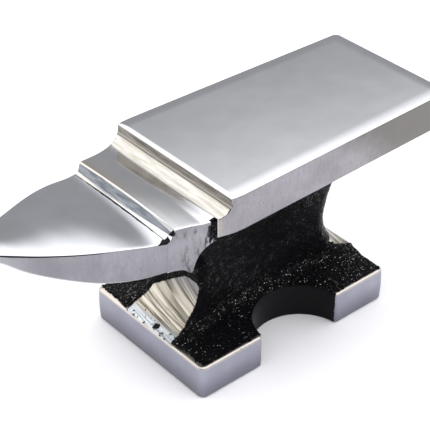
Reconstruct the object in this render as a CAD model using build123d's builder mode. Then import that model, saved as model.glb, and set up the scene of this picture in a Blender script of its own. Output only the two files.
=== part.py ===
from build123d import *

import math
import os

# A small bench anvil: notched foot, hourglass waist, stepped table, horn and square heel.
# Millimetres, +Z up.  The horn points to -X and the heel to +X.  The origin is on the resting
# plane, below the middle of the whole length.  Every piece meets its neighbours face to face,
# as forged or welded pieces do, and nothing on an anvil moves.

# ---------------------------------------------------------------- places along the anvil
horn_reach = 67.7  # foot's middle to the horn's tip
heel_reach = 44.7  # foot's middle to the heel's end
foot_x = (horn_reach - heel_reach) / 2  # foot's middle, from the origin
body_x = foot_x + 0.9  # middle of the waist and of the notches
seam_x = foot_x - 22.2  # seam between step and face
root_x = foot_x - 33.0  # seam between horn and step
heel_x = foot_x + heel_reach
tip_x = foot_x - horn_reach

# the rest of these are measured along X from the foot's middle
front_along = -15.0  # where the face is widest
bow_along = -20.5
step_middle = -27.8
lip_along = -31.9  # front edge of the step
drop_along = -32.4  # hollow of the drop
bend_along = -30.6  # underside of the step, where its shoulder begins
shoulder_along = -27.4
arch_along = -26.0
horn_middle = -48.0
horn_belly = [(-59.9, 42.8), (-51.4, 38.6), (-42.6, 35.9)]  # with heights
horn_flank = [(-58.0, 7.1), (-50.0, 10.85), (-42.0, 13.6)]  # with half widths
block_half = 20  # more than half the width of any piece

# ---------------------------------------------------------------- heights
foot_height = 8.5
underside = 39.9
drop_height = 43.9
face_top = 48.6
step_lip = 45.6  # top of the step at its front edge
step_low = 44.5  # top of the step at the cove
root_height = 43.2  # bottom of the drop, where the horn begins
horn_middle_height = 44.6  # top of the horn at its middle
tip_height = 48.2
nose_height = 47.6  # foremost point of the nose
nose_low = 46.9
belly_height = 35.1  # underside of the horn and step at the horn's root
shoulder_height = 32.9  # lowest point of the step's bare sides
shoulder_arch = 37.1  # on the curve from that point up to the seam
step_underside = 39.5  # step's bare side at the seam

# ---------------------------------------------------------------- half widths, seen from above
face_half_front = 19.0
face_half_bow = 18.45
face_half_seam = 17.9
face_half_heel = 17.7
step_half_middle = 16.4
step_half_lip = 15.7
root_half = 15.45
nose_radius = 2.8

# ---------------------------------------------------------------- foot
foot_length = 54.9
foot_width = 37.6
foot_corner_radius = 1.8
foot_top_round = 0.6
foot_bottom_round = 0.6
notch_radius = 11.25
notch_centre_y = 19.5

# ---------------------------------------------------------------- cove, drop and edges
cove_radius = 3.0
edge_round = 0.6
heel_corner_radius = 1.6
nose_run = 1.0  # length of the nose's rounding
step_middle_height = 44.95  # top of the step at its middle

# ---------------------------------------------------------------- waist
throat_height = 20.2  # where the waist is narrowest
throat_front = 19.3  # body_x to the waist's front at the throat
throat_back = 19.4
throat_half = 7.9  # half width near the ends
throat_half_middle = 6.3  # half width at body_x, above the notches
foot_sweep_radius = 11.9  # ends, below the throat
horn_sweep_radius = 13.7  # front, above the throat
heel_sweep_radius = 44.0  # back, above the throat
side_sweep_radius = 50.0  # sides, above the throat
brow_radius = 5.0  # sides and back, where they run out under the face
brow_run = 4.2
toe_radius = 6.0  # sides near the ends, where they run out on the foot
middle_toe_radius = 2.6  # sides at body_x, where they run down to a notch
chest_front = 29.6  # body_x to the waist's front under the step
sharp_corner = 0.8
front_corner = 3.2
back_corner = 4.0
waist_levels = [foot_height, 9.3, 10.6, 12.6, 15.0, throat_height, 25.5, 30.0, 33.0, 35.0, 37.6]
waist_levels += [39.1, underside]

# ---------------------------------------------------------------- ground ramps and enamel
ramp_half_foot = 8.2
ramp_half = 7.2
ramp_high = 19.9  # top of the front ramp on one side
ramp_low = 13.4  # and on the other
ramp_depth = 16.2  # body_x to the back of a ramp
enamel = 0.3
enamel_margin_ends = 1.3  # bare ground edge at the foot's ends
enamel_margin_sides = 0.6  # and at its sides
enamel_corner_radius = 1.0
enamel_margin_under = 0.6  # bare edge of the face's underside
enamel_gap_under = 1.6  # the same, beside the widest part of the face
groove_width = 1.5
groove_floor = 16.6  # half width between the floors of the two grooves
groove_low = 40.2


def sweep(radius, rise, limit):
    """Run of a concave sweep at a rise above its narrowest place."""
    rise = min(abs(rise), radius)
    return min(radius - math.sqrt(radius**2 - rise**2), limit)


def waist_outline(height):
    """Front, back and the two half widths of the waist at a height."""
    above = height - throat_height
    if above < 0:
        front = throat_front + sweep(foot_sweep_radius, above, 8.8)
        back = throat_back + sweep(foot_sweep_radius, above, 7.0)
        half = throat_half + sweep(toe_radius, max(0, foot_height + toe_radius - height), 4.0)
        toe = max(0, foot_height + middle_toe_radius - height)
        middle = throat_half_middle + sweep(middle_toe_radius, toe, 1.8)
    else:
        front = throat_front + sweep(horn_sweep_radius, above, chest_front - throat_front)
        brow = sweep(brow_radius, max(0, height - underside + brow_radius), brow_run)
        back = throat_back + sweep(heel_sweep_radius, above, 9.0) + brow
        half = throat_half + sweep(side_sweep_radius, above, 9.0) + brow
        middle = half - 0.3 - 1.3 * max(0, 1 - above / 14)
    return front, back, half, middle


def front_corner_radius(height, half):
    """Sharp beside the ground ramp, rounder above it and where it runs out on the foot."""
    if height < throat_height:
        return max(sharp_corner, half - ramp_half_foot)
    return min(front_corner, sharp_corner + 0.6 * (height - throat_height))


def waist_section(height, inset):
    """The waist's level section: flat ends, hollow sides and round corners."""
    front, back, half, middle = waist_outline(height)
    start = body_x - front + inset
    end = body_x + back - inset
    with BuildSketch(Plane.XY.offset(height)) as section:
        with BuildLine():
            Line((end, inset - half), (end, half - inset))
            ThreePointArc((end, half - inset), (body_x, middle - inset), (start, half - inset))
            Line((start, half - inset), (start, inset - half))
            ThreePointArc((start, inset - half), (body_x, inset - middle), (end, inset - half))
        make_face()
        fillet(section.vertices().group_by(Axis.X)[0], front_corner_radius(height, half))
        fillet(section.vertices().group_by(Axis.X)[-1], back_corner)
    return section.sketch


def hourglass(inset):
    """The whole waist from the foot to the underside of the face, less an inset all round."""
    with BuildPart() as body:
        loft([waist_section(level, inset) for level in waist_levels])
    return body.part


def ramp_region(direction, high, low):
    """The space of a ground ramp, at the front (-1) or the back (+1) of the waist."""
    back_plane = Plane(
        origin=(body_x + direction * ramp_depth, 0, 0), x_dir=(0, 1, 0), z_dir=(1, 0, 0)
    )
    with BuildPart() as region:
        with BuildSketch(back_plane):
            with BuildLine():
                Polyline(
                    (-ramp_half_foot, foot_height),
                    (-ramp_half, foot_height + 3.5),
                    (-ramp_half, high - 0.5),
                    (-ramp_half + 1.5, high),
                    (-2.5, high - 0.3),
                    (ramp_half - 1.0, low),
                    (ramp_half - 0.8, foot_height + 3.5),
                    (ramp_half_foot, foot_height),
                    close=True,
                )
            make_face()
        extrude(amount=direction * 20)
    return region.part


# ---------------------------------------------------------------- horn
with BuildPart() as horn:
    with BuildSketch(Plane.XZ):
        with BuildLine():
            top = ThreePointArc(
                (root_x, root_height),
                (foot_x + horn_middle, horn_middle_height),
                (tip_x + nose_run, tip_height),
            )
            nose = ThreePointArc(top @ 1, (tip_x, nose_height), (tip_x + nose_run, nose_low))
            Spline(
                nose @ 1,
                *[(foot_x + along, height) for along, height in horn_belly],
                (root_x, belly_height),
                tangents=((1, -0.55), (1, 0)),
            )
            Line((root_x, belly_height), (root_x, root_height))
        make_face()
    extrude(amount=block_half, both=True)
    with BuildSketch(Plane.XY.offset(belly_height)) as horn_plan:
        with BuildLine():
            nose_arc = CenterArc((tip_x + nose_radius, 0), nose_radius, 180, -60)
            flank = Spline(
                nose_arc @ 1,
                *[(foot_x + along, half) for along, half in horn_flank],
                (root_x, root_half),
                tangents=((0.866, 0.5), (1, 0.2)),
            )
            Line(flank @ 1, (root_x, 0))
            mirror(about=Plane.XZ)
        make_face()
    extrude(amount=face_top - belly_height, mode=Mode.INTERSECT)
horn.part.label = "horn"

# ---------------------------------------------------------------- step
with BuildPart() as step:
    with BuildSketch(Plane.XZ):
        with BuildLine():
            lip = (foot_x + lip_along, step_lip)
            hollow = (foot_x + drop_along, drop_height)
            drop = ThreePointArc(lip, hollow, (root_x, root_height))
            Line(drop @ 1, (root_x, belly_height))
            bend = (foot_x + bend_along, belly_height - 0.2)
            shoulder = (foot_x + shoulder_along, shoulder_height)
            Line((root_x, belly_height), bend)
            Line(bend, shoulder)
            ThreePointArc(shoulder, (foot_x + arch_along, shoulder_arch), (seam_x, step_underside))
            Line((seam_x, step_underside), (seam_x, step_low))
            ThreePointArc((seam_x, step_low), (foot_x + step_middle, step_middle_height), lip)
        make_face()
    extrude(amount=block_half, both=True)
    with BuildSketch(Plane.XY.offset(shoulder_height - 1)):
        with BuildLine():
            side = Spline(
                (root_x, root_half),
                (foot_x + lip_along, step_half_lip),
                (foot_x + step_middle, step_half_middle),
                (seam_x, face_half_seam),
                tangents=((1, 0.2), (1, 0.35)),
            )
            Line(side @ 0, (root_x, 0))
            Line(side @ 1, (seam_x, 0))
            mirror(about=Plane.XZ)
        make_face()
    extrude(amount=face_top - shoulder_height, mode=Mode.INTERSECT)
step_block = step.part

# ---------------------------------------------------------------- face, heel and cove
with BuildPart() as face:
    with BuildSketch(Plane.XZ):
        with BuildLine():
            cove_low = (seam_x, step_low)
            cove_top = (seam_x + cove_radius, step_low + cove_radius)
            Line((seam_x, underside), (heel_x, underside))
            Line((heel_x, underside), (heel_x, face_top))
            Line((heel_x, face_top), (cove_top[0], face_top))
            Line((cove_top[0], face_top), cove_top)
            RadiusArc(cove_low, cove_top, -cove_radius)
            Line((seam_x, step_low), (seam_x, underside))
        make_face()
    extrude(amount=block_half, both=True)
    with BuildSketch(Plane.XY.offset(underside)):
        with BuildLine():
            shoulder = Spline(
                (seam_x, face_half_seam),
                (foot_x + bow_along, face_half_bow),
                (foot_x + front_along, face_half_front),
                tangents=((1, 0.4), (1, -0.02)),
            )
            Line(shoulder @ 1, (heel_x, face_half_heel))
            Line((heel_x, face_half_heel), (heel_x, 0))
            Line(shoulder @ 0, (seam_x, 0))
            mirror(about=Plane.XZ)
        make_face()
    extrude(amount=face_top - underside, mode=Mode.INTERSECT)
    heel_corners = face.edges().filter_by(Axis.Z).group_by(Axis.X)[-1]
    fillet(heel_corners, heel_corner_radius)
    fillet(face.faces().sort_by(Axis.Z)[-1].edges(), edge_round)
face.part.label = "face"

# ---------------------------------------------------------------- ramps, waist and foot
outer = hourglass(0)
inner = hourglass(enamel)
front_region = ramp_region(-1, ramp_high, ramp_low)
back_region = ramp_region(1, ramp_low, ramp_low)

with BuildPart() as front_ramp:
    add(outer)
    add(front_region, mode=Mode.INTERSECT)
front_ramp.part.label = "front_ramp"

with BuildPart() as rear_ramp:
    add(outer)
    add(back_region, mode=Mode.INTERSECT)
rear_ramp.part.label = "rear_ramp"

with BuildPart() as waist:
    add(inner)
    add([front_region, back_region, step_block], mode=Mode.SUBTRACT)
waist.part.label = "waist"

with BuildPart() as foot_block:
    with BuildSketch():
        with Locations((foot_x, 0)):
            RectangleRounded(foot_length, foot_width, foot_corner_radius)
    extrude(amount=foot_height)
    fillet(foot_block.faces().sort_by(Axis.Z)[-1].edges(), foot_top_round)
    fillet(foot_block.faces().sort_by(Axis.Z)[0].edges(), foot_bottom_round)
    with BuildSketch():
        with Locations((body_x, -notch_centre_y), (body_x, notch_centre_y)):
            Circle(notch_radius)
    extrude(amount=foot_height, mode=Mode.SUBTRACT)

# ---------------------------------------------------------------- enamel
with BuildPart() as foot_coat:
    with BuildSketch(Plane.XY.offset(foot_height - enamel)):
        with Locations((foot_x, 0)):
            RectangleRounded(
                foot_length - 2 * enamel_margin_ends,
                foot_width - 2 * enamel_margin_sides,
                enamel_corner_radius,
            )
        with Locations((body_x, -notch_centre_y), (body_x, notch_centre_y)):
            Circle(notch_radius, mode=Mode.SUBTRACT)
        add(waist_section(foot_height, enamel).moved(Location((0, 0, -enamel))), mode=Mode.SUBTRACT)
        with Locations((body_x, 0)):
            Rectangle(foot_length, 2 * ramp_half_foot, mode=Mode.SUBTRACT)
    extrude(amount=enamel)

with BuildPart() as under_coat:
    with BuildSketch(Plane.XY.offset(underside - enamel)):
        with BuildLine():
            front = seam_x + enamel_margin_under
            back = heel_x - enamel_margin_under
            half = face_half_heel - enamel_margin_under
            near = Line((front, face_half_front - enamel_gap_under), (back, half))
            Line(near @ 0, (front, 0))
            Line(near @ 1, (back, 0))
            mirror(about=Plane.XZ)
        make_face()
    extrude(amount=enamel)
    add(outer, mode=Mode.SUBTRACT)


def enamel_side(direction):
    """The coat on one side of the waist and of the foot, left (-1) or right (+1)."""
    with BuildPart() as coat:
        add(outer)
        add(inner, mode=Mode.SUBTRACT)
        add([front_region, back_region, step_block], mode=Mode.SUBTRACT)
        add([foot_coat.part, under_coat.part])
        with Locations((body_x, direction * 20, 25)):
            Box(100, 40, 60, mode=Mode.INTERSECT)
    return coat.part


enamel_left = enamel_side(-1)
enamel_right = enamel_side(1)
enamel_left.label = "enamel_left"
enamel_right.label = "enamel_right"

with BuildPart() as base:
    add(foot_block.part)
    add(foot_coat.part, mode=Mode.SUBTRACT)
base.part.label = "base"

# ---------------------------------------------------------------- painted grooves at the seam
def seam_paint(direction):
    """Enamel left in the upright groove of the step's side, beside the face."""
    with BuildPart() as paint:
        add(step_block)
        with Locations((seam_x - groove_width / 2, direction * (20 + groove_floor), groove_low + 5)):
            Box(groove_width, 40, 10, mode=Mode.INTERSECT)
    return paint.part


seam_left = seam_paint(-1)
seam_right = seam_paint(1)
seam_left.label = "seam_paint_left"
seam_right.label = "seam_paint_right"

with BuildPart() as stepped:
    add(step_block)
    add([seam_left, seam_right], mode=Mode.SUBTRACT)
stepped.part.label = "step"

# ---------------------------------------------------------------- files
os.makedirs("parts", exist_ok=True)
pieces = [
    base.part,
    waist.part,
    front_ramp.part,
    rear_ramp.part,
    face.part,
    stepped.part,
    horn.part,
    enamel_left,
    enamel_right,
    seam_left,
    seam_right,
]
for piece in pieces:
    export_step(piece, f"parts/{piece.label}.step")
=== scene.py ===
import bpy
import math
from mathutils import Matrix, Vector, noise


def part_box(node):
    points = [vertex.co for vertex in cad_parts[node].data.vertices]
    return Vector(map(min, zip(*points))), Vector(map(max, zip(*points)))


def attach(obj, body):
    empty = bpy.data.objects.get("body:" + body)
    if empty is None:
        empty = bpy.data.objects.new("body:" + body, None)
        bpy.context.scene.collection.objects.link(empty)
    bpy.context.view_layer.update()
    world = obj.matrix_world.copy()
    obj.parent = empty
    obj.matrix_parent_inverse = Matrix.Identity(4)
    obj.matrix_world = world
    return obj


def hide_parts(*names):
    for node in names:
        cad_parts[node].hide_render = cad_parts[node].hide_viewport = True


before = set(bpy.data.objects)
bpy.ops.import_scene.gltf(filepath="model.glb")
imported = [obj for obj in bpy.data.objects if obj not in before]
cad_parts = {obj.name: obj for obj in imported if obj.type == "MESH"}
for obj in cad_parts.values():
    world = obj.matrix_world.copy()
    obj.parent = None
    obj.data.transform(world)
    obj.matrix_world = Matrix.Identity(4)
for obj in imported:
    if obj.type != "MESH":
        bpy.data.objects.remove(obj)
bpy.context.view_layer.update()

scene = bpy.context.scene
MM = 0.001
SIDE = {-1: "left", 1: "right"}  # by the sign of y


# ---------------------------------------------------------------- measures, in millimetres
base_low, base_high = (Vector(c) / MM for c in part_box("base"))
face_low, face_high = (Vector(c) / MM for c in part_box("face"))
horn_low, horn_high = (Vector(c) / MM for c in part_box("horn"))
foot_x = (base_low.x + base_high.x) / 2
foot_top = base_high.z
body_x = foot_x + 0.9  # middle of the waist and of the notches
seam_x = face_low.x  # between step and face
heel_x = face_high.x
root_x = horn_high.x  # between horn and step
tip_x = horn_low.x
underside = face_low.z
face_top = face_high.z
notch_radius = 11.25
notch_centre_y = 19.5
cove_radius = 3.0
cove_low = 44.5
lip_radius = 0.5
lip_centre = Vector((foot_x - 31.2, 45.0))  # x and z
drop_radius = 0.85
drop_centre = Vector((foot_x - 32.98, 44.05))
drop_tilt = 70  # steepest place of the drop, in degrees
groove_back = 16.75  # half width at the floor of the painted grooves
groove_z = (40.1, 43.95)
crest_z = 42.6  # the upper sides of step and horn lie above this
throat_z = 20.2  # narrowest place of the waist
brow_z = 34.9  # from here up, the waist flares out under the face
toe_rise = 11.7  # from the foot to the throat
front_reach, back_reach = 19.3, 19.4  # from body_x to the waist's ends at the throat
throat_half, throat_half_middle = 7.9, 6.3  # half widths there, near the ends and at body_x
end_half = 8.2  # half width of the straight ends of the coat's borders
bend = 3.0  # length of the borders' corners


# ---------------------------------------------------------------- mesh helpers
def smooth_line(points, steps):
    """A smooth line through the points, with this many steps between two of them."""
    points = [Vector(p) for p in points]
    ends = [2 * points[0] - points[1]] + points + [2 * points[-1] - points[-2]]
    line = []
    for a, b, c, d in zip(ends, ends[1:], ends[2:], ends[3:]):
        for k in range(steps):
            t = k / steps
            cubic = 2 * a - 5 * b + 4 * c - d
            line.append(0.5 * (2 * b + (c - a) * t + cubic * t * t + (3 * b - a - 3 * c + d) * t**3))
    return line + [points[-1]]


def travelled(line):
    """Distance gone at each point of a line."""
    gone = [0.0]
    for a, b in zip(line, line[1:]):
        gone.append(gone[-1] + (b - a).length)
    return gone


def value_at(table, x):
    """Straight-line value at x from a table of (x, value) in rising x."""
    if x <= table[0][0]:
        return table[0][1]
    for (x0, v0), (x1, v1) in zip(table, table[1:]):
        if x <= x1:
            return v0 + (v1 - v0) * (x - x0) / (x1 - x0)
    return table[-1][1]


def from_foot(*rows):
    """A smooth table of values along the anvil, given by distance from the foot's middle."""
    return [tuple(p) for p in smooth_line([(foot_x + x, v) for x, v in rows], 8)]


def add_piece(name, points, faces, nodes, sharp=32):
    """A mesh in millimetres that stands for these nodes of the model."""
    mesh = bpy.data.meshes.new(name)
    mesh.from_pydata([Vector(p) * MM for p in points], [], faces)
    mesh.validate()
    mesh.update()
    mesh.shade_smooth()
    mesh.set_sharp_from_angle(angle=math.radians(sharp))
    piece = bpy.data.objects.new(name, mesh)
    scene.collection.objects.link(piece)
    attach(piece, "root")
    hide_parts(*nodes)
    return piece


def stack(loops):
    """Points and faces of closed loops laid one on another, closed at both ends."""
    count = len(loops[0])
    points = [p for loop in loops for p in loop]
    faces = [tuple(reversed(range(count)))]
    for k in range(len(loops) - 1):
        low, high = k * count, (k + 1) * count
        for i in range(count):
            j = (i + 1) % count
            faces.append((low + i, low + j, high + j, high + i))
    faces.append(tuple(range((len(loops) - 1) * count, len(loops) * count)))
    return points, faces


def cut_away(piece, low, high):
    """Cut a square-cornered slot, from low to high, out of a piece."""
    corners = [(x, y, z) for z in (low[2], high[2]) for y in (low[1], high[1]) for x in (low[0], high[0])]
    sides = [(0, 2, 3, 1), (4, 5, 7, 6), (0, 1, 5, 4), (2, 6, 7, 3), (0, 4, 6, 2), (1, 3, 7, 5)]
    mesh = bpy.data.meshes.new("slot")
    mesh.from_pydata([Vector(c) * MM for c in corners], [], sides)
    cutter = bpy.data.objects.new("slot", mesh)
    scene.collection.objects.link(cutter)
    cut = piece.modifiers.new("slot", "BOOLEAN")
    cut.operation = "DIFFERENCE"
    cut.solver = "EXACT"
    cut.object = cutter
    graph = bpy.context.evaluated_depsgraph_get()
    done = bpy.data.meshes.new_from_object(piece.evaluated_get(graph))
    piece.modifiers.clear()
    piece.data = done
    bpy.data.objects.remove(cutter)


# ---------------------------------------------------------------- outlines of the bright parts
face_half = from_foot((-22.2, 17.9), (-21.0, 18.2), (-19.5, 18.6), (-17.0, 18.93), (-12.0, 18.9),
                      (15.0, 18.35), (44.7, 17.7))
step_half = from_foot((-35.0, 15.1), (-33.0, 15.45), (-31.9, 15.7), (-27.0, 16.5), (-22.2, 17.9))
step_sole = ((-31.8, 35.0), (-30.8, 34.85), (-29.4, 34.3), (-28.4, 33.5), (-27.6, 33.0),
             (-27.2, 34.2), (-26.5, 36.0), (-25.3, 37.7), (-23.8, 38.8))  # its underside
horn_half = from_foot((-66.7, 1.9), (-65.0, 3.2), (-62.0, 4.95), (-58.0, 7.1), (-54.0, 9.0),
                      (-50.0, 10.85), (-46.0, 12.4), (-42.0, 13.6), (-38.0, 14.5), (-35.0, 15.1),
                      (-33.0, 15.45))
horn_top = from_foot((-67.7, 48.25), (-64.0, 48.1), (-61.7, 47.75), (-57.6, 46.92), (-53.4, 46.15),
                     (-49.0, 45.5), (-45.4, 44.98), (-43.0, 44.58), (-41.0, 44.2), (-39.5, 43.88),
                     (-38.0, 43.54), (-37.0, 43.32), (-36.0, 43.13), (-35.0, 43.0), (-34.0, 42.95),
                     (-33.0, 42.98))  # along the edges
horn_crown = from_foot((-67.7, 0.2), (-60.0, 0.42), (-56.0, 0.5), (-52.0, 0.56), (-48.0, 0.58),
                       (-44.0, 0.6), (-40.0, 0.62), (-37.0, 0.56), (-35.0, 0.46), (-33.0, 0.36))
horn_belly = from_foot((-67.7, 47.3), (-63.7, 45.6), (-59.9, 42.85), (-55.7, 40.6), (-51.4, 38.7),
                       (-47.1, 37.1), (-42.6, 35.95), (-38.4, 35.25), (-33.0, 35.05))


# ---------------------------------------------------------------- face and heel
def face_loop(z, front, inset):
    """Level outline of the face: hollowed front, straight sides, heel with round corners."""
    chamfer = 0.12
    radius = 1.6 - min(inset, 1.2)
    start = front + chamfer
    end = heel_x - inset - radius
    side = [(front, value_at(face_half, front) - inset - chamfer)]
    for k in range(91):
        x = start + (end - start) * (k / 90) ** 1.6
        side.append((x, value_at(face_half, x) - inset))
    centre_y = side[-1][1] - radius
    for k in range(1, 13):
        a = math.radians(90 - 90 * k / 12)
        side.append((end + radius * math.cos(a), centre_y + radius * math.sin(a)))
    near = [Vector((x, -y, z)) for x, y in side]
    far = [Vector((x, y, z)) for x, y in reversed(side)]
    heel = [near[-1].lerp(far[0], k / 24) for k in range(1, 24)]
    nose = [far[-1].lerp(near[0], k / 24) for k in range(1, 24)]
    return near + heel + far + nose


def face_piece():
    edge = 0.45
    soft = 2.9  # width of the gentle fall along the top's borders
    fall = 0.12
    rises = [(0, 0.3), (0.04, 0.14), (0.14, 0.04), (0.3, 0), (0.5, 0), (2.2, 0), (4.4, 0), (4.6, 0)]
    loops = [face_loop(underside + rise, seam_x, inset) for rise, inset in rises]
    for k in range(1, 25):
        a = math.radians(90 * k / 24)
        rise = cove_radius * (1 - math.cos(a))
        loops.append(face_loop(cove_low + rise, seam_x + cove_radius * math.sin(a), 0))
    lip_x = seam_x + cove_radius
    tilt = 2 * fall / soft
    shoulder = face_top - fall
    for k in range(13):
        a = math.pi / 2 + (tilt - math.pi / 2) * k / 12
        inset = edge * (1 - math.sin(a))
        loops.append(face_loop(shoulder - edge * (1 - math.cos(a)), lip_x + inset, inset))
    for k in range(1, 15):
        t = k / 14
        rise = fall * (1 - (1 - t) ** 2)
        loops.append(face_loop(shoulder + rise, lip_x + edge + 0.6 * t, edge + soft * t))
    loops.append(face_loop(face_top, lip_x + edge + 0.8, edge + soft + 0.3))
    points, faces = stack(loops)
    return add_piece("face_block", points, faces, ["face"])


# ---------------------------------------------------------------- horn and step
def half_ring(top, low, down, half, half_low, crown, edge, belly, lean):
    """Half of a ring, from the middle of the top round to the middle of the belly."""
    tilt = math.atan(2 * crown * (1 - lean) / half)
    start = half - edge * (1 - math.sin(tilt))

    def fall(y):
        return crown * ((y / half - lean) ** 2 - lean**2)

    side = [top + Vector((0, start * k / 18, 0)) + down * fall(start * k / 18) for k in range(19)]
    centre_fall = fall(start) + edge * math.cos(tilt)
    for k in range(1, 13):
        a = tilt + (math.pi / 2 - tilt) * k / 12
        out = Vector((0, half - edge + edge * math.sin(a), 0))
        side.append(top + out + down * (centre_fall - edge * math.cos(a)))
    shoulder = side[-1].copy()
    foot = low + Vector((0, half_low, belly))
    for k in range(1, 25):
        side.append(shoulder.lerp(foot, k / 24))
    for k in range(1, 9):
        a = math.pi / 2 * k / 8
        turn = Vector((0, half_low - belly * (1 - math.cos(a)), belly * (1 - math.sin(a))))
        side.append(low + turn)
    for k in range(1, 7):
        side.append(low + Vector((0, (half_low - belly) * (1 - k / 6), 0)))
    return side


def block_ring(top, low, down, half, half_low, crown, edge, belly, lean):
    """A ring round a bar: crowned top, soft shoulders, straight flanks and rounded belly.

    The lean moves the crown's ridge to one side, as a share of the half width.
    """
    far = half_ring(top, low, down, half, half_low, crown, edge, belly, lean)
    near = half_ring(top, low, down, half, half_low, crown, edge, belly, -lean)
    return far + [Vector((p.x, -p.y, p.z)) for p in reversed(near[1:-1])]


def horn_piece():
    rings = []
    length = root_x - 0.15 - tip_x
    for k in range(161):
        x = tip_x + length * (0.0004 + 0.9996 * (k / 160) ** 1.5)
        blunt = math.sqrt(max(0.002, 1 - (1 - min(1, (x - tip_x) / 1.3)) ** 2))
        half = value_at(horn_half, x) * blunt
        high, low = value_at(horn_top, x), value_at(horn_belly, x)
        middle = 0.6 * high + 0.4 * low
        high, low = middle + (high - middle) * blunt, middle + (low - middle) * blunt
        tall = high - low
        along = (root_x - x) / length
        crown = min(value_at(horn_crown, x), 0.25 * tall)
        edge = min(0.3 + 0.7 * along * along, 0.25 * tall, 0.45 * half)
        belly = min(0.6, 0.3 * tall, 0.45 * half)
        top = Vector((x, 0, high + 1.15 * crown))
        rings.append(block_ring(top, Vector((x, 0, low)), Vector((0, 0, -1)), half,
                                half - min(0.4, 0.05 * tall, 2 * along), crown, edge, belly, 0.3))
    closing = [p + Vector((0.15, 0, -0.3 if p.z > crest_z else 0)) for p in rings[-1]]
    points, faces = stack(rings + [closing])
    return add_piece("horn_block", points, faces, ["horn"])


def step_piece():
    top = smooth_line([(seam_x, cove_low), (foot_x - 23.2, 44.55), (foot_x - 24.4, 44.69),
                       (foot_x - 25.6, 44.85), (foot_x - 27.0, 45.04), (foot_x - 28.4, 45.21),
                       (foot_x - 29.8, 45.365), (foot_x - 31.15, 45.488)], 5)
    for k in range(17):
        a = math.radians(5 + (drop_tilt - 5) * k / 16)
        top.append(lip_centre + lip_radius * Vector((-math.sin(a), math.cos(a))))
    end_tilt = math.degrees(math.asin((root_x - drop_centre.x) / drop_radius))
    for k in range(1, 25):
        a = math.radians(drop_tilt + (end_tilt - drop_tilt) * k / 24)
        top.append(drop_centre + drop_radius * Vector((math.sin(a), -math.cos(a))))
    line = [top[0]]
    for p in top:
        if (p - line[-1]).length > 0.03 and p.x < line[-1].x:
            line.append(p)
    sole = [(foot_x + x, z) for x, z in reversed(step_sole)]
    low_line = smooth_line([(seam_x, 39.45), *sole, (root_x, 35.05)], 6)
    travel, low_travel = travelled(line), travelled(low_line)
    low_x = [(s, p.x) for s, p in zip(low_travel, low_line)]
    low_z = [(s, p.y) for s, p in zip(low_travel, low_line)]
    rings = []
    for k, p in enumerate(line):
        s = travel[k] / travel[-1] * low_travel[-1]
        low = Vector((value_at(low_x, s), 0, value_at(low_z, s)))
        run = (line[min(k + 1, len(line) - 1)] - line[max(k - 1, 0)]).normalized()
        down = Vector((-run.y, 0, run.x))
        crown = 0.5 * min(1, (seam_x - p.x) / 3)
        top = Vector((p.x, 0, p.y)) - down * 0.3 * crown
        rings.append(block_ring(top, low, down, value_at(step_half, p.x),
                                value_at(step_half, low.x) - 0.02, max(crown, 0.01), 0.25, 0.2, 0.2))
    closing = [p + Vector((-0.02, 0, -0.2 if p.z > crest_z else 0)) for p in rings[-1]]
    points, faces = stack(rings + [closing])
    piece = add_piece("step_block", points, [tuple(reversed(f)) for f in faces], ["step"])
    for side in (-1, 1):
        inner, outer = sorted((side * groove_back, side * 19.0))
        high = groove_z[1] + (1 if side < 0 else 0)
        cut_away(piece, (seam_x - 1.45, inner, groove_z[0]), (seam_x + 0.2, outer, high))
    piece.data.set_sharp_from_angle(angle=math.radians(32))
    return piece


# ---------------------------------------------------------------- foot
def foot_loop(z, inset, notch_inset):
    """Level outline of the foot with its two notches."""
    front, back, side = base_low.x + inset, base_high.x - inset, base_high.y - inset
    radius = max(0.5, 1.8 - inset)
    flare = 0.7
    ring = notch_radius + notch_inset
    mouth = math.acos((notch_centre_y - side + flare) / ring)
    turn = ring * math.sin(mouth)
    left, right = body_x - turn - flare, body_x + turn + flare
    half = [(front, (side - radius) * k / 30) for k in range(31)]
    for k in range(1, 11):
        a = math.radians(9 * k)
        half.append((front + radius * (1 - math.cos(a)), side - radius * (1 - math.sin(a))))
    for k in range(1, 25):
        half.append((front + radius + (left - front - radius) * k / 24, side))
    for k in range(1, 7):
        a = math.radians(15 * k)
        half.append((left + flare * math.sin(a), side - flare * (1 - math.cos(a))))
    for k in range(1, 60):
        a = mouth * (k / 30 - 1)
        half.append((body_x + ring * math.sin(a), notch_centre_y - ring * math.cos(a)))
    for k in range(6, -1, -1):
        a = math.radians(15 * k)
        half.append((right - flare * math.sin(a), side - flare * (1 - math.cos(a))))
    for k in range(1, 25):
        half.append((right + (back - radius - right) * k / 24, side))
    for k in range(1, 11):
        a = math.radians(9 * k)
        half.append((back - radius * (1 - math.sin(a)), side - radius * (1 - math.cos(a))))
    half += [(back, (side - radius) * (1 - k / 30)) for k in range(1, 31)]
    near = [Vector((x, -y, z)) for x, y in half]
    far = [Vector((x, y, z)) for x, y in reversed(half[1:-1])]
    return near + far


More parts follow.
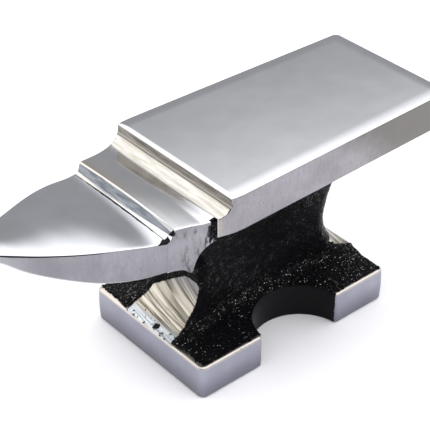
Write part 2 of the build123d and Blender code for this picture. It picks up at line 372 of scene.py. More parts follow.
def foot_piece():
    bulge, bulge_z = 0.15, 4.4  # how far the sides stand out, and at which height the most
    loops = [foot_loop(0, 1.1, 0.3), foot_loop(0, 0.85, 0.25)]
    for k in range(1, 10):
        a = math.radians(10 * k)
        loops.append(foot_loop(0.7 * (1 - math.cos(a)), 0.85 - 0.7 * math.sin(a), 0.25 * (1 - math.sin(a))))
    for z in (1.1, 1.6, 2.4, 3.2, 4.0, 4.8, 5.6, 6.4, 7.2):
        loops.append(foot_loop(z, bulge * ((z - bulge_z) / 3.4) ** 2, 0))
    for k in range(0, 10):
        a = math.radians(10 * k)
        inset = bulge + 0.75 * (1 - math.cos(a))
        loops.append(foot_loop(foot_top - 0.1 - 0.7 * (1 - math.sin(a)), inset, 0.3 * (1 - math.cos(a))))
    loops.append(foot_loop(foot_top, 1.4, 0.4))
    loops.append(foot_loop(foot_top, 1.6, 0.5))
    points, faces = stack(loops)
    return add_piece("foot_block", points, faces, ["base"])


# ---------------------------------------------------------------- enamel over the cast waist
def sweep(radius, rise, limit):
    """Run of a hollow sweep at a rise above its narrowest place."""
    rise = min(abs(rise), radius)
    return min(radius - math.sqrt(radius**2 - rise**2), limit)


def waist_outline(z):
    """Front, back, half width near the ends, half width at the middle, and front corner."""
    above = z - throat_z
    if above < 0:
        front = front_reach + sweep(11.9, above, 8.8)
        back = back_reach + sweep(11.9, above, 7.0)
        half = throat_half + sweep(6.0, max(0, 14.5 - z), 4.0)
        middle = throat_half_middle + sweep(2.6, max(0, 11.1 - z), 1.8)
        return front, back, half, middle, max(0.8, half - end_half)
    brow = sweep(5.0, max(0, z - brow_z), 4.2)
    front = front_reach + sweep(13.7, above, 10.3)
    back = back_reach + sweep(44.0, above, 9.0) + brow
    half = throat_half + sweep(50.0, above, 9.0) + brow
    return front, back, half, half - 0.3 - 1.3 * max(0, 1 - above / 14), min(3.2, 0.8 + 0.6 * above)


SPANS = (30, 26, 190, 22, 22)  # steps over front, front corner, side, back corner and back


def waist_row(z):
    """Half of the waist's level outline, from the middle of the front to that of the back."""
    front, back, half, middle, corner = waist_outline(z)
    round_back = 4.0

    def side_y(x):
        reach = front if x < body_x else back
        return middle + (half - middle) * ((x - body_x) / reach) ** 2

    x0, x1 = body_x - front, body_x + back
    row = [(x0, (side_y(x0 + corner) - corner) * k / SPANS[0]) for k in range(SPANS[0])]
    for k in range(SPANS[1]):
        a = math.pi / 2 * k / SPANS[1]
        row.append((x0 + corner * (1 - math.cos(a)), side_y(x0 + corner) - corner * (1 - math.sin(a))))
    for k in range(SPANS[2]):
        x = x0 + corner + (x1 - round_back - x0 - corner) * k / SPANS[2]
        row.append((x, side_y(x)))
    level = side_y(x1 - round_back) - round_back
    for k in range(SPANS[3]):
        a = math.pi / 2 * k / SPANS[3]
        row.append((x1 - round_back * (1 - math.sin(a)), level + round_back * math.cos(a)))
    row += [(x1, level * (1 - k / SPANS[4])) for k in range(SPANS[4] + 1)]
    return row


def edge_row(front, back, side, notched):
    """Where the coat runs out on the foot or under the face, step for step with waist_row."""
    corner = SPANS[0] + SPANS[1]
    row = [(front, end_half * k / SPANS[0]) for k in range(SPANS[0])]
    turn = round(SPANS[1] * 0.75)
    row += [(front, end_half + (side - end_half) * k / turn) for k in range(turn)]
    rest = corner - len(row)
    row += [(front + bend * k / rest, side) for k in range(rest)]
    if notched:
        mouth = math.acos((notch_centre_y - side) / notch_radius)
        turn = notch_radius * math.sin(mouth)
        steps = round(SPANS[2] * 0.2)
        row += [(front + bend + (body_x - turn - front - bend) * k / steps, side) for k in range(steps)]
        around = SPANS[2] - 2 * steps
        for k in range(around + 1):
            a = mouth * (2 * k / around - 1)
            row.append((body_x + notch_radius * math.sin(a), notch_centre_y - notch_radius * math.cos(a)))
        start = body_x + turn
        row += [(start + (back - bend - start) * k / steps, side) for k in range(1, steps)]
    else:
        span = back - front - 2 * bend
        row += [(front + bend + span * k / SPANS[2], side) for k in range(SPANS[2])]
    turn = SPANS[3] // 2
    row += [(back - bend * (1 - k / turn), side) for k in range(turn)]
    rest = SPANS[3] - turn
    row += [(back, side - (side - end_half) * k / rest) for k in range(rest)]
    row += [(back, end_half * (1 - k / SPANS[4])) for k in range(SPANS[4] + 1)]
    return row


def coat_heights():
    low = [foot_top + toe_rise * (1 - math.cos(math.pi / 2 * k / 62)) for k in range(1, 63)]
    middle = [throat_z + (brow_z - throat_z) * k / 62 for k in range(1, 63)]
    high = [brow_z + 4.75 * math.sin(math.pi / 2 * k / 26) for k in range(1, 27)]
    return low + middle + high


def coat_grid():
    """Rows of the coat's face, from the foot's border up to the border under the face."""
    toe = waist_row(foot_top)
    rim = edge_row(base_low.x + 0.7, base_high.x - 0.7, base_high.y - 0.25, True)
    rows = []
    swell = [min(0.9, 0.2 * math.hypot(a - c, b - d)) for (a, b), (c, d) in zip(rim, toe)]
    for k in range(27):
        t = k / 27
        rows.append([Vector((a + (c - a) * t, b + (d - b) * t, foot_top + 0.06 + rise * t**2.2))
                     for (a, b), (c, d), rise in zip(rim, toe, swell)])
    for z in coat_heights():
        fade = max(0, 1 - (z - foot_top) / 5) ** 2
        rows.append([Vector((x, y, z + rise * fade)) for (x, y), rise in zip(waist_row(z), swell)])
    brow = waist_row(underside)
    border = edge_row(seam_x - 6, heel_x - 0.6, 17.2, False)
    for k in range(1, 18):
        t = k / 17
        rows.append([Vector((a + (c - a) * t, b + (d - b) * t, underside - 0.14))
                     for (a, b), (c, d) in zip(brow, border)])
    return rows


def relax(rows, times):
    """Soften the creases of a grid, its borders held."""
    for _ in range(times):
        rows = [rows[0]] + [
            [row[0]] + [(row[j - 1] + row[j + 1] + below[j] + above[j] + 2 * row[j]) / 6
                        for j in range(1, len(row) - 1)] + [row[-1]]
            for below, row, above in zip(rows, rows[1:], rows[2:])
        ] + [rows[-1]]
    return rows


def inside(outline, y, z):
    """Whether a point lies within a closed outline."""
    within = False
    for (y0, z0), (y1, z1) in zip(outline, outline[1:] + outline[:1]):
        if (z0 > z) != (z1 > z) and y < y0 + (y1 - y0) * (z - z0) / (z1 - z0):
            within = not within
    return within


def ramp_shape(high, low):
    return [(-8.2, 8.0), (-8.2, 8.5), (-7.2, 12.0), (-7.2, high - 0.5), (-5.7, high), (-2.5, high - 0.3),
            (6.2, low), (6.4, 12.0), (8.2, 8.5), (8.2, 8.0)]


front_shape = ramp_shape(19.9, 13.4)
rear_shape = ramp_shape(13.4, 13.4)
step_under = from_foot((-35.0, 35.1), *step_sole, (-22.2, 39.45))


def is_coated(p):
    """Whether the coat covers this place; its borders are ragged, as brushed enamel's are."""
    torn = Vector((noise.noise(p * 1.7), noise.noise(p * 1.7 + Vector((9, 0, 0))), 0)) * 0.3
    torn += Vector((noise.noise(p * 5), noise.noise(p * 5 + Vector((9, 0, 0))), 0)) * 0.22
    if p.z < foot_top + 0.5:
        if p.x + torn.x < base_low.x + 1.25 or p.x + torn.x > base_high.x - 1.0:
            return False
        if abs(p.y + torn.y) > base_high.y - 0.75:
            return False
    if p.x < body_x - 16.2 and inside(front_shape, p.y + torn.x * 0.6, p.z + torn.y * 0.6):
        return False
    if p.x > body_x + 16.2 and inside(rear_shape, p.y + torn.x * 0.6, p.z + torn.y * 0.6):
        return False
    if p.x < seam_x and p.z > value_at(step_under, p.x) + 0.15 + torn.y * 0.4:
        return False
    return p.z < underside - 0.3 or (p.x > seam_x and abs(p.y) < value_at(face_half, p.x) - 0.5)


def lumps(p):
    """Height of the cast skin over a place: broad swells, sand lumps and fine grains."""
    swell = 0.10 * noise.noise(p * 0.18) + 0.07 * noise.noise(p * 0.5 + Vector((3, 7, 1)))
    lump = noise.noise(p * 1.45) + 0.55 * noise.noise(p * 2.9 + Vector((1, 2, 3)))
    rough = 0.062 + 0.03 * noise.noise(p * 0.12 + Vector((5, 5, 5)))
    rough += 0.02 * max(0, 1 - abs(p.z - 12) / 12)
    return max(-0.1, min(0.26, 0.1 + swell + rough * lump))


def enamel_piece(side):
    start = coat_grid()
    rows = relax(start, 16)
    outer, inner, kept = [], [], []
    wide = len(rows[0])
    for i, row in enumerate(rows):
        below, above = rows[max(i - 1, 0)], rows[min(i + 1, len(rows) - 1)]
        for j, p in enumerate(row):
            along = row[min(j + 1, wide - 1)] - row[max(j - 1, 0)]
            out = along.cross(above[j] - below[j])
            if j == 0 or j == wide - 1:
                out.y = 0
            if out.length < 1e-9:
                out = Vector((0, 0, 1))
            out.normalize()
            out.negate()
            sunk = (p - start[i][j]).dot(out)
            if sunk < -0.08:
                p = p - out * (sunk + 0.08)
            face = Vector((p.x, p.y * side, p.z))
            out.y *= side
            shell = lumps(face)
            raised = face + out * shell
            deep = face - out * 0.22
            if p.z < foot_top + 0.4:
                raised.z = max(raised.z, foot_top + 0.03)
                deep.z = max(deep.z, foot_top - 0.03)
            if p.z > underside - 0.5:
                raised.z = min(raised.z, underside - 0.04)
                deep.z = min(deep.z, underside + 0.02)
            outer.append(raised)
            inner.append(deep)
            kept.append(is_coated(face))
    points = outer + inner
    lower = len(outer)
    faces, borders = [], {}
    for i in range(len(rows) - 1):
        for j in range(wide - 1):
            quad = [i * wide + j, i * wide + j + 1, (i + 1) * wide + j + 1, (i + 1) * wide + j]
            if sum(kept[q] for q in quad) < 3:
                continue
            if side < 0:
                quad.reverse()
            quad.reverse()
            faces.append(tuple(quad))
            faces.append(tuple(lower + q for q in reversed(quad)))
            for a, b in zip(quad, quad[1:] + quad[:1]):
                if (b, a) in borders:
                    del borders[(b, a)]
                else:
                    borders[(a, b)] = True
    for a, b in borders:
        faces.append((b, a, lower + a, lower + b))
    name = SIDE[side]
    return add_piece("enamel_coat_" + name, points, faces, ["enamel_" + name], 60)


def seam_paint_piece(side):
    """Enamel left in the groove at the seam, its face sunk and uneven."""
    across, tall = 14, 46
    width, low, high = 1.42, groove_z[0] + 0.02, groove_z[1] - 0.1
    points, faces = [], []
    for layer in (0, 1):
        for k in range(tall + 1):
            for j in range(across + 1):
                x = seam_x - width + 0.02 + (width - 0.04) * j / across
                z = low + (high - low) * k / tall
                place = Vector((x, side * 17, z))
                skin = value_at(step_half, x) - 0.16 + 0.13 * noise.noise(place * 1.6)
                skin += 0.05 * noise.noise(place * 4)
                y = skin if layer else groove_back + 0.01
                ragged = 0.16 * noise.noise(Vector((side, 0, z * 1.9)))
                points.append((x + (ragged if j == 0 and layer else 0), side * y, z))
    wide, count = across + 1, (across + 1) * (tall + 1)
    for k in range(tall):
        for j in range(across):
            quad = (k * wide + j, k * wide + j + 1, (k + 1) * wide + j + 1, (k + 1) * wide + j)
            faces.append(quad)
            faces.append(tuple(count + q for q in reversed(quad)))
    rim = [(k, k + 1) for k in range(across)]
    rim += [(k * wide + across, (k + 1) * wide + across) for k in range(tall)]
    rim += [(tall * wide + k + 1, tall * wide + k) for k in range(across)]
    rim += [((k + 1) * wide, k * wide) for k in range(tall)]
    faces += [(b, a, count + a, count + b) for a, b in rim]
    if side > 0:
        faces = [tuple(reversed(f)) for f in faces]
    name = SIDE[side]
    return add_piece("groove_paint_" + name, points, faces, ["seam_paint_" + name], 60)


# ---------------------------------------------------------------- shader helpers
def join(socket, value):
    """Link a socket, or set a number or colour, on an input."""
    if isinstance(value, bpy.types.NodeSocket):
        socket.id_data.links.new(value, socket)
    elif socket.type == "RGBA":
        socket.default_value = (*value, 1) if len(value) == 3 else value
    else:
        socket.default_value = value


def node(tree, kind, settings=None, **choices):
    """A shader node with its choices made, and its sockets set or joined by name."""
    made = tree.nodes.new("ShaderNode" + kind)
    for key, value in choices.items():
        setattr(made, key, value)
    for key, value in (settings or {}).items():
        join(made.inputs[key], value)
    return made


def tree_of(*values):
    """The node tree of the first socket among the values."""
    return next(v.id_data for v in values if isinstance(v, bpy.types.NodeSocket))


def maths(operation, *values):
    made = node(tree_of(*values), "Math", operation=operation)
    for socket, value in zip(made.inputs, values):
        join(socket, value)
    return made.outputs[0]


def times(first, *others):
    for other in others:
        first = maths("MULTIPLY", first, other)
    return first


def plus(first, *others):
    for other in others:
        first = maths("ADD", first, other)
    return first


def minus(first, second):
    return maths("SUBTRACT", first, second)


def over(value, limit):
    return maths("GREATER_THAN", value, limit)


def under(value, limit):
    return maths("LESS_THAN", value, limit)


def outside(mask):
    return maths("SUBTRACT", 1.0, mask)


def distance(a, b):
    """Length of a line from its extents in two directions."""
    return maths("SQRT", plus(times(a, a), times(b, b)))


def scaled(value, low, high, to_low=0.0, to_high=1.0):
    """Smooth change from to_low to to_high as the value goes from low to high."""
    if low > high:
        low, high, to_low, to_high = high, low, to_high, to_low
    limits = {"Value": value, "From Min": low, "From Max": high, "To Min": to_low, "To Max": to_high}
    return node(value.id_data, "MapRange", limits, interpolation_type="SMOOTHSTEP").outputs["Result"]


def spread(noisy, to_low, to_high):
    """Noise, which mostly lies between 0.3 and 0.7, brought to another range."""
    return scaled(noisy, 0.3, 0.7, to_low, to_high)


def blend(share, first, second, how="MIX"):
    made = node(tree_of(share, first, second), "Mix", data_type="RGBA", blend_type=how)
    for socket, value in zip((0, 6, 7), (share, first, second)):
        join(made.inputs[socket], value)
    return made.outputs[2]


def tinted(colour, shade):
    """A colour made lighter or darker by a value."""
    grey = node(shade.id_data, "CombineColor", {0: shade, 1: shade, 2: shade}).outputs[0]
    return blend(1.0, colour, grey, "MULTIPLY")


def noise_at(place, scale, detail=2.0, rough=0.5, stretch=None):
    tree = place.id_data
    if stretch:
        place = node(tree, "Mapping", {"Vector": place, "Scale": stretch}).outputs[0]
    made = node(tree, "TexNoise", {"Vector": place, "Scale": scale, "Detail": detail, "Roughness": rough})
    return made.outputs["Fac"]


def ragged(place, scale, detail, height):
    """Noise about zero, for torn borders; its whole range is this height."""
    return times(minus(noise_at(place, scale, detail), 0.5), height)


def effect(name, takes, gives, build):
    """A shader node group with named inputs and outputs."""
    tree = bpy.data.node_groups.new(name, "ShaderNodeTree")
    for key, kind in takes:
        tree.interface.new_socket(name=key, in_out="INPUT", socket_type="NodeSocket" + kind)
    for key, kind in gives:
        tree.interface.new_socket(name=key, in_out="OUTPUT", socket_type="NodeSocket" + kind)
    entry, out = tree.nodes.new("NodeGroupInput"), tree.nodes.new("NodeGroupOutput")
    for key, value in build(tree, entry.outputs).items():
        tree.links.new(value, out.inputs[key])
    return tree


def place_effect(group, place, **settings):
    """A node group at work on a place; gives its outputs."""
    made = node(place.id_data, "Group", node_tree=group)
    for key, value in {"Place": place, **settings}.items():
        join(made.inputs[key], value)
    return made.outputs


# ---------------------------------------------------------------- effects shared by materials
def build_sides(tree, takes):
    """Place in millimetres, and how far a surface faces up and down or sideways."""
    place = node(tree, "VectorMath", {0: takes["Place"], "Scale": 1000.0}, operation="SCALE").outputs[0]
    facing = node(tree, "NewGeometry").outputs["Normal"]
    parts = node(tree, "SeparateXYZ", {0: facing}).outputs
    level = scaled(maths("ABSOLUTE", parts["Z"]), 0.45, 0.8)
    flank = scaled(maths("ABSOLUTE", parts["Y"]), 0.75, 0.95)
    return {"Place": place, "Level": level, "Flank": flank, "Up": parts["Z"]}


def build_pits(tree, takes):
    """Small scattered pits: round, of several sizes, in some places only."""
    cells = node(tree, "TexVoronoi", {"Vector": takes["Place"], "Scale": takes["Count"]})
    share = node(tree, "SeparateColor", {0: cells.outputs["Color"]}).outputs
    size = times(takes["Size"], plus(share["Green"], 0.35))
    hole = under(cells.outputs["Distance"], size)
    chosen = under(share["Red"], takes["Share"])
    return {"Mask": times(hole, chosen)}


def build_marks(tree, takes):
    """Fine grinding lines along one direction, with slow clouding under them."""
    stretched = node(tree, "VectorMath", {0: takes["Place"], 1: takes["Stretch"]}, operation="MULTIPLY")
    stretched = stretched.outputs[0]
    fine = noise_at(stretched, 2.6, 4.0, 0.65)
    coarse = noise_at(stretched, 0.6, 2.0)
    cloud = noise_at(takes["Place"], 0.13, 3.0)
    return {"Lines": plus(times(fine, 0.65), times(coarse, 0.35)), "Cloud": cloud}


SIDES = effect("facing", [("Place", "Vector")],
               [("Place", "Vector"), ("Level", "Float"), ("Flank", "Float"), ("Up", "Float")], build_sides)
PITS = effect("pits", [("Place", "Vector"), ("Count", "Float"), ("Size", "Float"), ("Share", "Float")],
              [("Mask", "Float")], build_pits)
MARKS = effect("grinding marks", [("Place", "Vector"), ("Stretch", "Vector")],
               [("Lines", "Float"), ("Cloud", "Float")], build_marks)


class Finish:
    """A material being made: its tree, its shader, and what the surface gives to work from."""

    def __init__(self, name):
        self.material = bpy.data.materials.new(name)
        self.material.use_nodes = True
        self.tree = self.material.node_tree
        self.shader = self.tree.nodes["Principled BSDF"]
        coords = node(self.tree, "TexCoord").outputs["Object"]
        given = place_effect(SIDES, coords)
        self.place, self.level, self.flank, self.up = (given[k] for k in ("Place", "Level", "Flank", "Up"))
        parts = node(self.tree, "SeparateXYZ", {0: self.place}).outputs
        self.x, self.y, self.z = parts["X"], parts["Y"], parts["Z"]

    def complete(self, colour, rough, metal, bumps, specular=0.06):
        """Join it all up; bumps are (height, depth in millimetres), laid one on another."""
        join(self.shader.inputs["Base Color"], colour)
        join(self.shader.inputs["Roughness"], rough)
        join(self.shader.inputs["Metallic"], metal)
        self.shader.inputs["Specular IOR Level"].default_value = specular
        normal = None
        for height, depth in bumps:
            bump = node(self.tree, "Bump", {"Strength": 1.0, "Distance": depth * MM, "Height": height})
            if normal:
                self.tree.links.new(normal, bump.inputs["Normal"])
            normal = bump.outputs[0]
        self.tree.links.new(normal, self.shader.inputs["Normal"])
        return self.material


def bright_metal(name, top, flank, top_rough, flank_rough, extras):
    """Buffed metal on top and ground metal on the flanks; extras adds what one piece has alone."""
    f = Finish(name)
    buffed = place_effect(MARKS, f.place, Stretch=(0.25, 6.0, 6.0))
    ground = place_effect(MARKS, f.place, Stretch=(2.2, 1.0, 0.5))
    pits = place_effect(PITS, f.place, Count=0.8, Size=0.095, Share=0.5)["Mask"]
    specks = place_effect(PITS, f.place, Count=1.1, Size=0.05, Share=0.1)["Mask"]
    cloud_top = spread(buffed["Cloud"], 0.96, 1.03)
    cloud_flank = spread(ground["Cloud"], 0.86, 1.08)
    grain = spread(ground["Lines"], 0.88, 1.12)
    top_colour = tinted(top, cloud_top)
    # the flanks' ground metal carries a slight lavender tint, a painted reflection of the bluish floor
    # shadow
    flank_colour = tinted(flank, times(cloud_flank, grain))
    colour = blend(f.flank, top_colour, flank_colour)
    rough = plus(scaled(f.flank, 0, 1, top_rough, flank_rough),
                 times(minus(buffed["Lines"], 0.5), 0.08))
    hole = maths("MAXIMUM", times(pits, f.flank),
                times(specks, outside(f.flank)))
    colour = blend(times(hole, 0.8), colour, (0.07, 0.065, 0.06))
    metal = outside(times(hole, 0.6))
    colour, rough, metal, more = extras(f, colour, rough, metal)
    swell = noise_at(f.place, 0.16, 1.0)
    bumps = [(swell, 0.004), (times(ground["Lines"], f.flank), 0.012), (buffed["Lines"], 0.0008)]
    return f.complete(colour, rough, metal, bumps + more)


def painted(f, mask, colour, rough, metal):
    """Black wherever the mask is: enamel for the most part, but also dark marks and the horn's painted edge
    reflection.
    """
    return (blend(mask, colour, (0.008, 0.008, 0.009)),
            plus(times(rough, outside(mask)), times(mask, 0.35)),
            times(metal, outside(mask)))


def face_metal():
    def extras(f, colour, rough, metal):
        # painted shade: the flanks darken, a little greener, high up towards the heel, standing in for a
        # darker reflection there
        torn = times(noise_at(f.place, 0.35, 3.0), 9.0)
        heel_shade = scaled(plus(f.x, torn, times(f.z, 1.6)), foot_x + 84, foot_x + 104)
        colour = blend(times(heel_shade, f.flank, 0.9), colour, (0.16, 0.155, 0.142))
        # pale rough sliver beside the seam
        past = plus(f.x, times(noise_at(f.place, 1.5, 3.0), 0.8))
        sliver = times(f.flank, scaled(past, seam_x + 1.55, seam_x + 1.15))
        colour = blend(times(sliver, 0.8), colour, (0.43, 0.41, 0.39))
        rough = plus(rough, times(sliver, 0.2))
        # streaked cove; its steep wall is painted darker, a painted reflection of the dim room it faces
        streaks = noise_at(f.place, 1.6, 4.0, 0.6, (1.0, 0.1, 1.0))
        wavy = plus(f.z, times(minus(streaks, 0.5), 0.8))
        cove = times(under(f.x, seam_x + cove_radius + 0.08), outside(f.flank), under(f.z, face_top - 0.45))
        bright = blend(scaled(streaks, 0.35, 0.65), (0.4, 0.38, 0.34), (0.52, 0.51, 0.49))
        wall_shade = blend(scaled(streaks, 0.35, 0.65), (0.13, 0.115, 0.1), (0.24, 0.225, 0.205))
        colour = blend(cove, colour, blend(scaled(wavy, cove_low + 1.7, cove_low + 2.3), bright, wall_shade))
        # crust of enamel along the cove's end
        reach = minus(distance(minus(f.x, seam_x), minus(f.z, cove_low + cove_radius)), cove_radius)
        black_marks = times(over(reach, -0.3), under(plus(reach, ragged(f.place, 1.3, 3.0, 0.3)), 0.2))
        near_cove = under(f.x, seam_x + cove_radius + 0.25)
        high = under(f.z, face_top - 0.5)
        black_marks = times(black_marks, near_cove, times(f.flank, high))
        colour, rough, metal = painted(f, black_marks, colour, rough, metal)
        return colour, rough, metal, []
    return bright_metal("polished face", (0.57, 0.575, 0.59), (0.31, 0.3, 0.325), 0.12, 0.34, extras)


def step_metal():
    def extras(f, colour, rough, metal):
        # warm tint on the top by the lip, stronger on its far half
        lip = times(scaled(f.x, foot_x - 28.5, foot_x - 31.0), scaled(f.y, -8, 6), outside(f.flank))
        colour = blend(times(lip, 0.45), colour, (0.6, 0.5, 0.4))
        # dark smears down the rough-ground flank
        streaks = noise_at(f.place, 0.55, 5.0, 0.68, (1.6, 1.0, 0.5))
        band = times(scaled(f.x, foot_x - 31, foot_x - 28.5), scaled(f.z, 44.4, 42.5))
        smear = times(scaled(streaks, 0.5, 0.64), band, f.flank)
        colour = blend(times(smear, 0.75), colour, (0.07, 0.07, 0.075))
        rough = plus(rough, times(smear, 0.2))
        # painted reflection: a bluish band down the steep of the drop, standing in for the dim room it
        # reflects
        lines = noise_at(f.place, 1.8, 4.0, 0.6, (1.0, 0.12, 1.0))
        drop_reflection = times(under(f.x, lip_centre.x - 0.38), outside(f.flank))
        drop_reflection = times(drop_reflection, scaled(plus(f.z, times(lines, 0.6)), 43.6, 43.85))
        bluish = blend(scaled(lines, 0.35, 0.65), (0.14, 0.155, 0.18), (0.28, 0.295, 0.32))
        colour = blend(drop_reflection, colour, bluish)
        # black crescent at the drop's end
        reach = times(under(f.x, lip_centre.x - 0.1), under(f.z, 45.25))
        outward = minus(times(streaks, 0.8), f.y)
        black_marks = over(outward, scaled(f.z, 43.4, 45.2, 14.75, 15.75))
        low = over(f.z, scaled(f.x, root_x + 1.6, root_x, 43.6, 42.3))
        black_marks = times(black_marks, times(reach, low))
        # enamel run out of the groove
        beside = times(scaled(f.x, seam_x - 3.6, seam_x - 1.5), f.flank)
        beside = times(beside, scaled(f.z, 43.9, 43.3))
        spill = over(plus(times(beside, 0.33), streaks), 0.74)
        black_marks = maths("MAXIMUM", black_marks, times(spill, beside))
        colour, rough, metal = painted(f, black_marks, colour, rough, metal)
        return colour, rough, metal, [(times(streaks, f.flank), 0.05)]
    return bright_metal("polished step", (0.57, 0.57, 0.575), (0.29, 0.285, 0.31), 0.13, 0.4, extras)


def horn_metal():
    def extras(f, colour, rough, metal):
        # the flanks darken towards the tip
        tipward = times(scaled(f.x, foot_x - 44, foot_x - 58), f.flank)
        colour = blend(times(tipward, 0.8), colour, (0.17, 0.17, 0.19))
        # black line left in the corner at the seam, and rough buffing beside it
        past = plus(f.x, ragged(f.place, 0.8, 3.0, 0.5))
        start = scaled(maths("ABSOLUTE", f.y), 5, 15, root_x - 0.45, root_x - 0.2)
        line = times(over(past, start), f.level)
        # black crescent on the flanks beside the seam, like the step's
        outward = minus(times(noise_at(f.place, 0.7, 4.0, 0.65), 0.8), f.y)
        black_marks = over(outward, scaled(f.x, root_x, root_x - 2.0, 14.6, 15.35))
        low = scaled(f.x, root_x, root_x - 2.0, 42.2, 42.5)
        black_marks = times(black_marks, over(f.z, low), over(f.x, root_x - 2.0))
        # painted reflection: a thin dark line along the edges towards the tip, where their rounding
        # reflects the dark room on the camera's side
        turning = times(over(f.up, 0.1), under(f.up, 0.5))
        dark_edge_reflection = times(turning, scaled(past, foot_x - 44, foot_x - 47))
        black_marks = maths("MAXIMUM", black_marks, dark_edge_reflection)
        speckle = noise_at(f.place, 3.0, 3.0, 0.7)
        buffing = times(scaled(f.x, root_x - 3.2, root_x - 0.6), speckle)
        rough = plus(rough, times(buffing, 0.15))
        colour, rough, metal = painted(f, maths("MAXIMUM", line, black_marks), colour, rough, metal)
        return colour, rough, metal, [(buffing, 0.01)]
    return bright_metal("polished horn", (0.57, 0.58, 0.6), (0.27, 0.268, 0.295), 0.12, 0.3, extras)


def foot_metal():
    f = Finish("ground foot")
    marks = place_effect(MARKS, f.place, Stretch=(0.8, 0.8, 2.5))
    pits = place_effect(PITS, f.place, Count=0.6, Size=0.07, Share=0.3)["Mask"]
    shade = times(spread(marks["Cloud"], 0.92, 1.05), spread(marks["Lines"], 0.96, 1.04))
    # the bluish tint is a painted reflection of the bluish floor shadow
    grey = tinted((0.36, 0.365, 0.435), shade)
    torn = ragged(f.place, 1.2, 4.0, 0.9)
    # painted highlight: a warm pale band along the top rim, where its rounding catches the light overhead
    rim = scaled(plus(f.z, times(torn, 0.4)), foot_top - 0.85, foot_top - 0.55)
    # painted shade: the sides darken towards the bottom, standing in for the reflected contact shadow on
    # the floor
    dim = scaled(f.z, 0.5, 6.5, 0.58, 1.0)
    grey = tinted(grey, dim)
    colour = blend(rim, grey, (0.52, 0.485, 0.45))
    colour = blend(times(pits, 0.8), colour, (0.08, 0.075, 0.07))
    # enamel down the walls of the notches
    dx = minus(f.x, body_x)
    dy = minus(maths("ABSOLUTE", f.y), notch_centre_y)
    reach = maths("SQRT", plus(times(dx, dx), times(dy, dy)))
    notch = under(plus(reach, times(torn, 0.5)), notch_radius + 0.32)
    mouth = scaled(plus(maths("ABSOLUTE", f.y), torn), base_high.y - 0.5, base_high.y - 0.75)
    notch = times(notch, over(mouth, 0.5))
    # flecks of enamel on the bare rim
    inward_x = maths("MINIMUM", minus(f.x, base_low.x), minus(base_high.x, f.x))
    inward = maths("MINIMUM", inward_x, minus(base_high.y, maths("ABSOLUTE", f.y)))
    fleck = times(over(plus(inward, times(torn, 2.2)), 1.15),
                 over(f.up, 0.6))
    rough = spread(marks["Lines"], 0.27, 0.4)
    colour, rough, metal = painted(f, maths("MAXIMUM", notch, fleck), colour, rough, 1.0)
    grain = noise_at(f.place, 2.4, 3.0)
    return f.complete(colour, rough, metal, [(marks["Lines"], 0.012), (grain, 0.01),
                                             (times(fleck, grain), 0.1)])


def ramp_metal():
    """Coarsely ground metal, its streaks crossing the ramp aslant."""
    f = Finish("ground ramp")
    # streaks run across, leaning a little down towards -Y, the more so high up
    lean = scaled(f.z, foot_top, foot_top + 10, -0.12, -0.5)
    across = plus(plus(f.x, times(f.z, 0.6)), times(f.y, lean))
    lane = node(f.tree, "CombineXYZ", {0: across, 1: times(f.y, 0.045), 2: 0.0}).outputs[0]
    broad = noise_at(lane, 0.75, 2.0, 0.5)
    streak = noise_at(lane, 2.3, 3.0, 0.6)
    fine = noise_at(lane, 7.0, 3.0, 0.6)
    cut = plus(times(broad, 0.5), plus(times(streak, 0.35), times(fine, 0.15)))
    warm = blend(scaled(cut, 0.4, 0.6), (0.1, 0.085, 0.065), (0.62, 0.585, 0.51))
    # painted reflection: the flat foot of the ramp, facing up, is pale blue-white, standing in for the
    # bright light overhead
    flat_sky_reflection = blend(scaled(streak, 0.35, 0.65), (0.3, 0.32, 0.34), (0.6, 0.64, 0.68))
    flat = scaled(plus(f.z, times(minus(streak, 0.5), 1.2)), foot_top + 1.3, foot_top + 0.7)
    high = scaled(f.z, 14.5, 18.5)
    grey = blend(scaled(cut, 0.42, 0.6), (0.17, 0.165, 0.16), (0.4, 0.395, 0.385))
    colour = blend(flat, blend(high, warm, grey), flat_sky_reflection)
    grime = noise_at(f.place, 1.1, 4.0, 0.65)
    black = over(grime, scaled(f.z, foot_top, foot_top + 3, 0.6, 0.71))
    # one chip of enamel left near the foot's border
    middle = (foot_x - 25.9, -1.7, foot_top + 0.4)
    chip = node(f.tree, "VectorMath", {0: f.place, 1: middle}, operation="DISTANCE").outputs["Value"]
    blot = under(plus(chip, times(minus(grime, 0.5), 2.4)), 0.85)
    rough = spread(fine, 0.3, 0.5)
    colour, rough, metal = painted(f, maths("MAXIMUM", black, blot), colour, rough, 1.0)
    return f.complete(colour, rough, metal, [(broad, 0.22), (streak, 0.1), (fine, 0.03)])


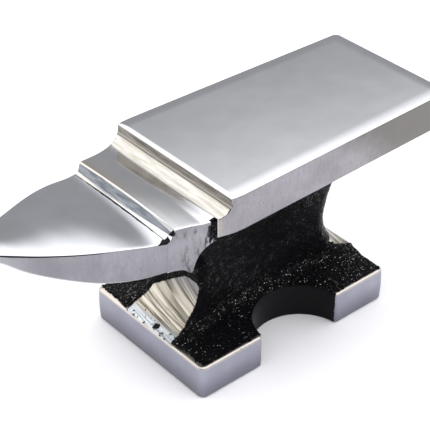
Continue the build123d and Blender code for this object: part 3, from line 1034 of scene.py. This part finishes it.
def enamel_black(name, depth):
    f = Finish(name)
    low = scaled(f.z, 22, 10)
    grain = noise_at(f.place, 3.4, 2.0, 0.5)
    cells = node(f.tree, "TexVoronoi", {"Vector": f.place, "Scale": 1.9}, feature="SMOOTH_F1")
    beads = cells.outputs["Distance"]
    cloud = noise_at(f.place, 0.2, 3.0)
    scratch = noise_at(f.place, 1.6, 5.0, 0.75, (1, 1, 0.4))
    dust = times(scaled(scratch, 0.66, 0.74), 0.35)
    colour = blend(cloud, (0.0022, 0.0022, 0.0026), (0.005, 0.005, 0.006))
    colour = blend(dust, colour, (0.1, 0.098, 0.094))
    # bare metal flecks, most of them on the foot: partly rubbed spots, partly painted glints standing in
    # for the lumps' highlights, painted paler low down
    fleck = place_effect(PITS, f.place, Count=2.1, Size=0.25, Share=0.6)["Mask"]
    rubbed_and_glinting = noise_at(f.place, 0.9, 4.0, 0.7)
    few = scaled(f.z, foot_top + 9, foot_top + 0.8, 0.58, 0.4)
    past_x = minus(maths("ABSOLUTE", minus(f.x, foot_x)), base_high.x - foot_x)
    past_y = minus(maths("ABSOLUTE", f.y), base_high.y)
    border = scaled(maths("MAXIMUM", past_x, past_y), -3.2, -1.4)
    few = minus(few, times(border, 0.1))
    fleck = times(fleck, over(rubbed_and_glinting, few))
    pale = blend(scaled(f.z, foot_top + 5, foot_top + 1), (0.07, 0.07, 0.07), (0.27, 0.265, 0.25))
    colour = blend(fleck, colour, pale)
    rough = plus(spread(grain, 0.18, 0.36), times(dust, 0.5))
    glint = times(scaled(grain, 0.52, 0.66), scaled(noise_at(f.place, 0.8, 2.0), 0.46, 0.64))
    join(f.shader.inputs["Coat Weight"], glint)
    f.shader.inputs["Coat Roughness"].default_value = 0.12
    heights = [(grain, depth * 2.4), (times(beads, plus(low, 0.7)), depth * 3.4)]
    return f.complete(colour, rough, fleck, heights, 0.03)


def cast_iron():
    f = Finish("cast waist")
    skin = noise_at(f.place, 1.4, 4.0, 0.6)
    colour = blend(skin, (0.06, 0.058, 0.056), (0.16, 0.155, 0.15))
    return f.complete(colour, spread(skin, 0.45, 0.7), 0.9, [(skin, 0.1)])


# ---------------------------------------------------------------- floor, light and camera
def studio_floor():
    mesh = bpy.data.meshes.new("floor")
    mesh.from_pydata([(-4, -4, 0), (4, -4, 0), (4, 4, 0), (-4, 4, 0)], [], [(0, 1, 2, 3)])
    floor = bpy.data.objects.new("floor", mesh)
    scene.collection.objects.link(floor)
    material = bpy.data.materials.new("pale floor")
    material.use_nodes = True
    shader = material.node_tree.nodes["Principled BSDF"]
    shader.inputs["Base Color"].default_value = (0.89, 0.88, 0.9, 1)
    shader.inputs["Roughness"].default_value = 0.8
    shader.inputs["Specular IOR Level"].default_value = 0.2
    mesh.materials.append(material)


def toward(azimuth, elevation):
    a, e = math.radians(azimuth), math.radians(elevation)
    return (math.cos(a) * math.cos(e), math.sin(a) * math.cos(e), math.sin(e))


def studio_light():
    """A broad soft light overhead, a second one behind, and a dim room round them."""
    world = bpy.data.worlds.new("studio")
    scene.world = world
    world.use_nodes = True
    t = world.node_tree
    way = node(t, "TexCoord").outputs["Generated"]

    def angle_from(azimuth, elevation):
        aim = node(t, "VectorMath", {0: way, 1: toward(azimuth, elevation)}, operation="DOT_PRODUCT")
        return maths("DEGREES", maths("ARCCOSINE", aim.outputs["Value"]))

    overhead = scaled(angle_from(-43, 76.5), 63.5, 49)
    behind = scaled(angle_from(125, 50), 48, 36)
    camera_side = scaled(angle_from(-110, 4), 75, 35)
    left = scaled(angle_from(142, 4), 26, 12)
    room = blend(camera_side, (0.46, 0.465, 0.485), (0.05, 0.05, 0.055))
    room = blend(left, room, (0.4, 0.37, 0.33))
    lit = blend(overhead, room, (2.05, 2.06, 2.1))
    lit = blend(behind, lit, (2.05, 2.03, 2.0))
    back = t.nodes["Background"]
    join(back.inputs["Color"], lit)
    back.inputs["Strength"].default_value = 1.0


def studio_camera():
    yaw, pitch, roll = math.radians(40.21), math.radians(35.174), math.radians(-0.16)
    aim = Vector((math.sin(yaw) * math.cos(pitch), math.cos(yaw) * math.cos(pitch), -math.sin(pitch)))
    right = Vector((math.cos(yaw), -math.sin(yaw), 0))
    up = right.cross(aim)
    side = right * math.cos(roll) + up * math.sin(roll)
    top = up * math.cos(roll) - right * math.sin(roll)
    camera = bpy.data.objects.new("camera", bpy.data.cameras.new("camera"))
    scene.collection.objects.link(camera)
    placed = Matrix((side, top, -aim)).transposed().to_4x4()
    eye = Vector((foot_x - 170.83, -192.81, 207.34))
    placed.translation = eye * MM
    camera.matrix_world = placed
    camera.data.sensor_width = 36
    camera.data.lens = 119.54
    camera.data.clip_start = 0.01
    scene.camera = camera
    scene.view_settings.view_transform = "Standard"


# ---------------------------------------------------------------- the anvil
def dress(piece, material):
    piece.data.materials.clear()
    piece.data.materials.append(material)


studio_floor()
studio_light()
studio_camera()

dress(face_piece(), face_metal())
dress(horn_piece(), horn_metal())
dress(step_piece(), step_metal())
dress(foot_piece(), foot_metal())
coat = enamel_black("black enamel", 0.06)
paint = enamel_black("seam enamel", 0.03)
for side in SIDE:
    dress(enamel_piece(side), coat)
    dress(seam_paint_piece(side), paint)
ramp = ramp_metal()
for name in ("front_ramp", "rear_ramp"):
    dress(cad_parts[name], ramp)
    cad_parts[name].data.shade_smooth()
    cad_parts[name].data.set_sharp_from_angle(angle=math.radians(40))
dress(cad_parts["waist"], cast_iron())
